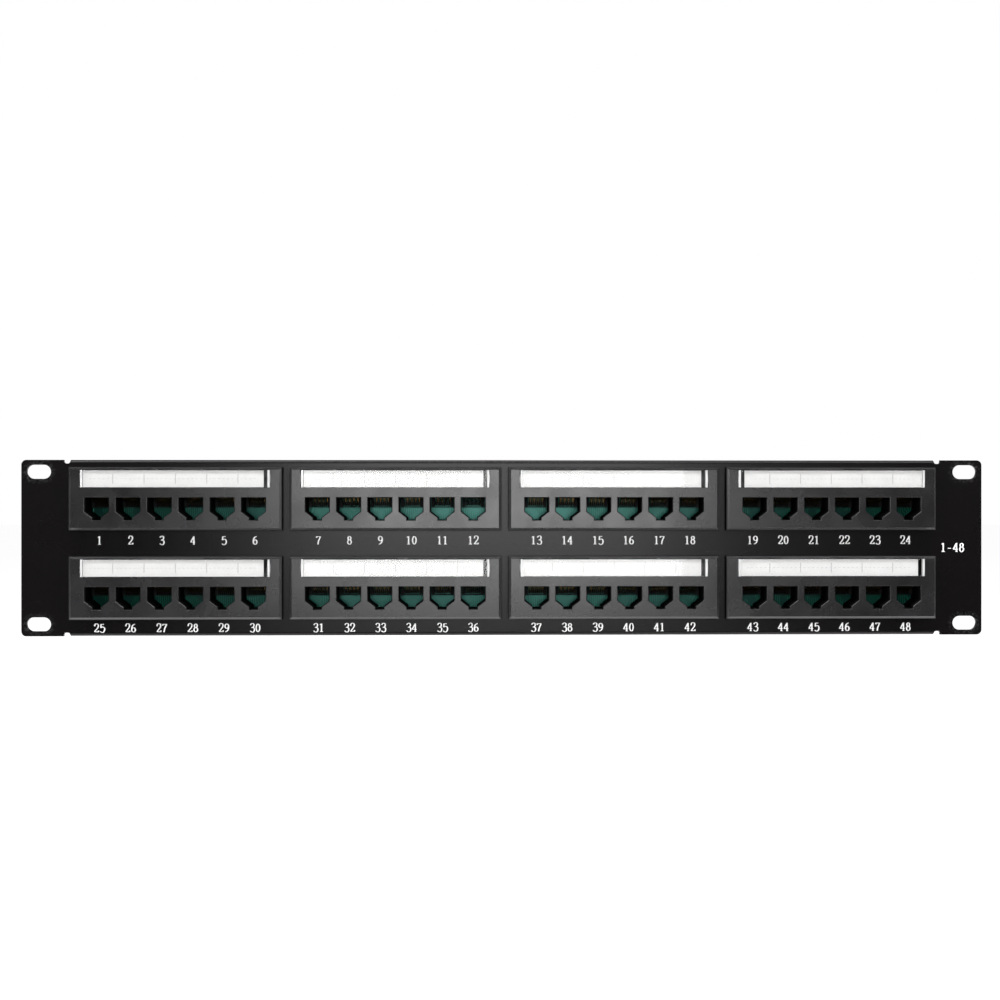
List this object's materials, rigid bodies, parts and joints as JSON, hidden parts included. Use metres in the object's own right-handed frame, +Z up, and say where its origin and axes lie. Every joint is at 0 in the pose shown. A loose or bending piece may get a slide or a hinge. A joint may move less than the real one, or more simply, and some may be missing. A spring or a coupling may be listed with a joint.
{
  "type": "patch panel",
  "caption": "Rack-mount patch panel: steel front with slotted ears, two rows of modular jack bezels with clear label windows, and punch-down blocks at the back.",
  "frame": {"origin": "centre of the four rack slots, on the rear face of the ears", "axes": "+X to the right seen from the front, +Z up, front faces -Y and cables arrive from +Y"},
  "size_m": [0.4826, 0.0308, 0.0882],
  "materials": {
    "panel_steel": "black powder coat, satin, fine texture",
    "bezel_plastic": "charcoal black moulded plastic, fine grain",
    "clear_plastic": "clear moulded plastic, polished",
    "label_paper": "white card, matte",
    "board_laminate": "green solder mask over glass laminate",
    "carrier_plastic": "black moulded plastic",
    "contact_metal": "gold-plated phosphor bronze",
    "idc_plastic": "off-white moulded plastic",
    "clip_metal": "tin-plated bronze",
    "screw_steel": "zinc plated"
  },
  "bodies": {
    "panel": {"front_panel": "panel_steel", "jack_bezel_1": "bezel_plastic", "jack_bezel_2": "bezel_plastic", "jack_bezel_3": "bezel_plastic", "jack_bezel_4": "bezel_plastic", "jack_bezel_5": "bezel_plastic", "jack_bezel_6": "bezel_plastic", "jack_bezel_7": "bezel_plastic", "jack_bezel_8": "bezel_plastic", "circuit_board_1": "board_laminate", "circuit_board_2": "board_laminate", "circuit_board_3": "board_laminate", "circuit_board_4": "board_laminate", "circuit_board_5": "board_laminate", "circuit_board_6": "board_laminate", "circuit_board_7": "board_laminate", "circuit_board_8": "board_laminate", "contact_carriers_1": "carrier_plastic", "contact_carriers_2": "carrier_plastic", "contact_carriers_3": "carrier_plastic", "contact_carriers_4": "carrier_plastic", "contact_carriers_5": "carrier_plastic", "contact_carriers_6": "carrier_plastic", "contact_carriers_7": "carrier_plastic", "contact_carriers_8": "carrier_plastic", "idc_blocks_1": "idc_plastic", "idc_blocks_2": "idc_plastic", "idc_blocks_3": "idc_plastic", "idc_blocks_4": "idc_plastic", "idc_blocks_5": "idc_plastic", "idc_blocks_6": "idc_plastic", "idc_blocks_7": "idc_plastic", "idc_blocks_8": "idc_plastic", "contact_pins": "contact_metal", "idc_clips": "clip_metal", "board_screws": "screw_steel"},
    "label_1": {"label_cover_1": "clear_plastic", "label_strip_1": "label_paper"},
    "contacts_1": {"contact_springs_1": "contact_metal"},
    "label_2": {"label_cover_2": "clear_plastic", "label_strip_2": "label_paper"},
    "contacts_2": {"contact_springs_2": "contact_metal"},
    "label_3": {"label_cover_3": "clear_plastic", "label_strip_3": "label_paper"},
    "contacts_3": {"contact_springs_3": "contact_metal"},
    "label_4": {"label_cover_4": "clear_plastic", "label_strip_4": "label_paper"},
    "contacts_4": {"contact_springs_4": "contact_metal"},
    "label_5": {"label_cover_5": "clear_plastic", "label_strip_5": "label_paper"},
    "contacts_5": {"contact_springs_5": "contact_metal"},
    "label_6": {"label_cover_6": "clear_plastic", "label_strip_6": "label_paper"},
    "contacts_6": {"contact_springs_6": "contact_metal"},
    "label_7": {"label_cover_7": "clear_plastic", "label_strip_7": "label_paper"},
    "contacts_7": {"contact_springs_7": "contact_metal"},
    "label_8": {"label_cover_8": "clear_plastic", "label_strip_8": "label_paper"},
    "contacts_8": {"contact_springs_8": "contact_metal"}
  },
  "joints": [
    {"name": "label_1_pull", "type": "slide", "parent": "panel", "child": "label_1", "axis": [0, -1, 0], "range_m": [0, 0.012]},
    {"name": "label_2_pull", "type": "slide", "parent": "panel", "child": "label_2", "axis": [0, -1, 0], "range_m": [0, 0.012]},
    {"name": "label_3_pull", "type": "slide", "parent": "panel", "child": "label_3", "axis": [0, -1, 0], "range_m": [0, 0.012]},
    {"name": "label_4_pull", "type": "slide", "parent": "panel", "child": "label_4", "axis": [0, -1, 0], "range_m": [0, 0.012]},
    {"name": "label_5_pull", "type": "slide", "parent": "panel", "child": "label_5", "axis": [0, -1, 0], "range_m": [0, 0.012]},
    {"name": "label_6_pull", "type": "slide", "parent": "panel", "child": "label_6", "axis": [0, -1, 0], "range_m": [0, 0.012]},
    {"name": "label_7_pull", "type": "slide", "parent": "panel", "child": "label_7", "axis": [0, -1, 0], "range_m": [0, 0.012]},
    {"name": "label_8_pull", "type": "slide", "parent": "panel", "child": "label_8", "axis": [0, -1, 0], "range_m": [0, 0.012]},
    {"name": "contacts_1_flex", "type": "hinge", "parent": "panel", "child": "contacts_1", "pos_m": [-0.1638, -0.0032, 0.02535], "axis": [1, 0, 0], "range_deg": [0, 12], "stiffness_Nm_per_rad": 2.4},
    {"name": "contacts_2_flex", "type": "hinge", "parent": "panel", "child": "contacts_2", "pos_m": [-0.0546, -0.0032, 0.02535], "axis": [1, 0, 0], "range_deg": [0, 12], "stiffness_Nm_per_rad": 2.4},
    {"name": "contacts_3_flex", "type": "hinge", "parent": "panel", "child": "contacts_3", "pos_m": [0.0546, -0.0032, 0.02535], "axis": [1, 0, 0], "range_deg": [0, 12], "stiffness_Nm_per_rad": 2.4},
    {"name": "contacts_4_flex", "type": "hinge", "parent": "panel", "child": "contacts_4", "pos_m": [0.1638, -0.0032, 0.02535], "axis": [1, 0, 0], "range_deg": [0, 12], "stiffness_Nm_per_rad": 2.4},
    {"name": "contacts_5_flex", "type": "hinge", "parent": "panel", "child": "contacts_5", "pos_m": [-0.1638, -0.0032, -0.0191], "axis": [1, 0, 0], "range_deg": [0, 12], "stiffness_Nm_per_rad": 2.4},
    {"name": "contacts_6_flex", "type": "hinge", "parent": "panel", "child": "contacts_6", "pos_m": [-0.0546, -0.0032, -0.0191], "axis": [1, 0, 0], "range_deg": [0, 12], "stiffness_Nm_per_rad": 2.4},
    {"name": "contacts_7_flex", "type": "hinge", "parent": "panel", "child": "contacts_7", "pos_m": [0.0546, -0.0032, -0.0191], "axis": [1, 0, 0], "range_deg": [0, 12], "stiffness_Nm_per_rad": 2.4},
    {"name": "contacts_8_flex", "type": "hinge", "parent": "panel", "child": "contacts_8", "pos_m": [0.1638, -0.0032, -0.0191], "axis": [1, 0, 0], "range_deg": [0, 12], "stiffness_Nm_per_rad": 2.4}
  ]
}
